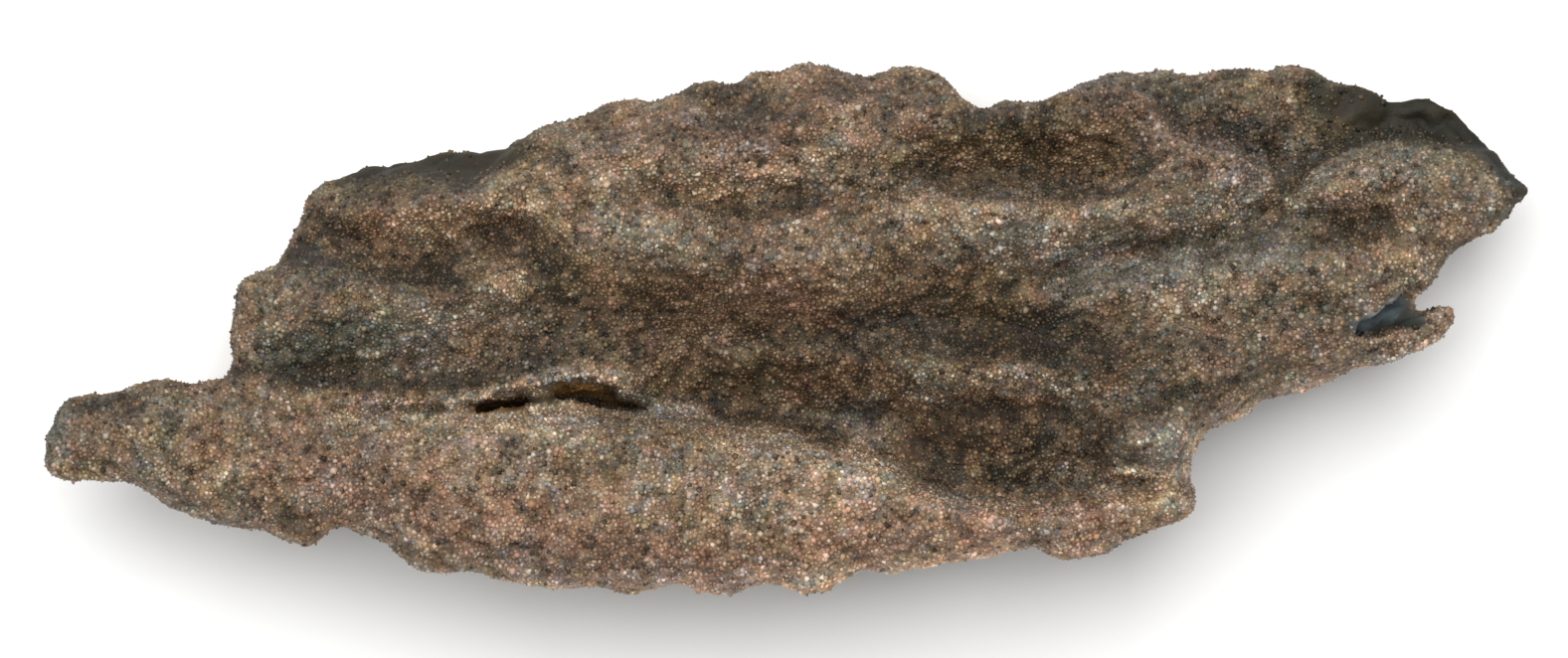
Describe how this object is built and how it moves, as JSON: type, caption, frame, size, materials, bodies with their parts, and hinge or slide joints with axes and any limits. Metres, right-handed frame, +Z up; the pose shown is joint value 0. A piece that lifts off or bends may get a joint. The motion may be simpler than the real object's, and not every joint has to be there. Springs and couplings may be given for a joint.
{
  "type": "fulgurite",
  "caption": "Flattened, ribbed crust of lightning-fused sand with a fat lengthwise lobe, a slit under an overhanging lip and a broken tube mouth at one end.",
  "frame": {"origin": "middle of the base of its box, on the surface it rests on", "axes": "+X along the length towards the end with the tube mouth, +Y across towards the crown edge, +Z up, out of the broad ribbed face"},
  "size_m": [0.0928, 0.0334, 0.0186],
  "materials": {
    "fused_sand": "rough crust of fused tan, grey and cream sand grains, darker in the recesses"
  },
  "bodies": {
    "root": {"fulgurite": "fused_sand"}
  },
  "joints": []
}
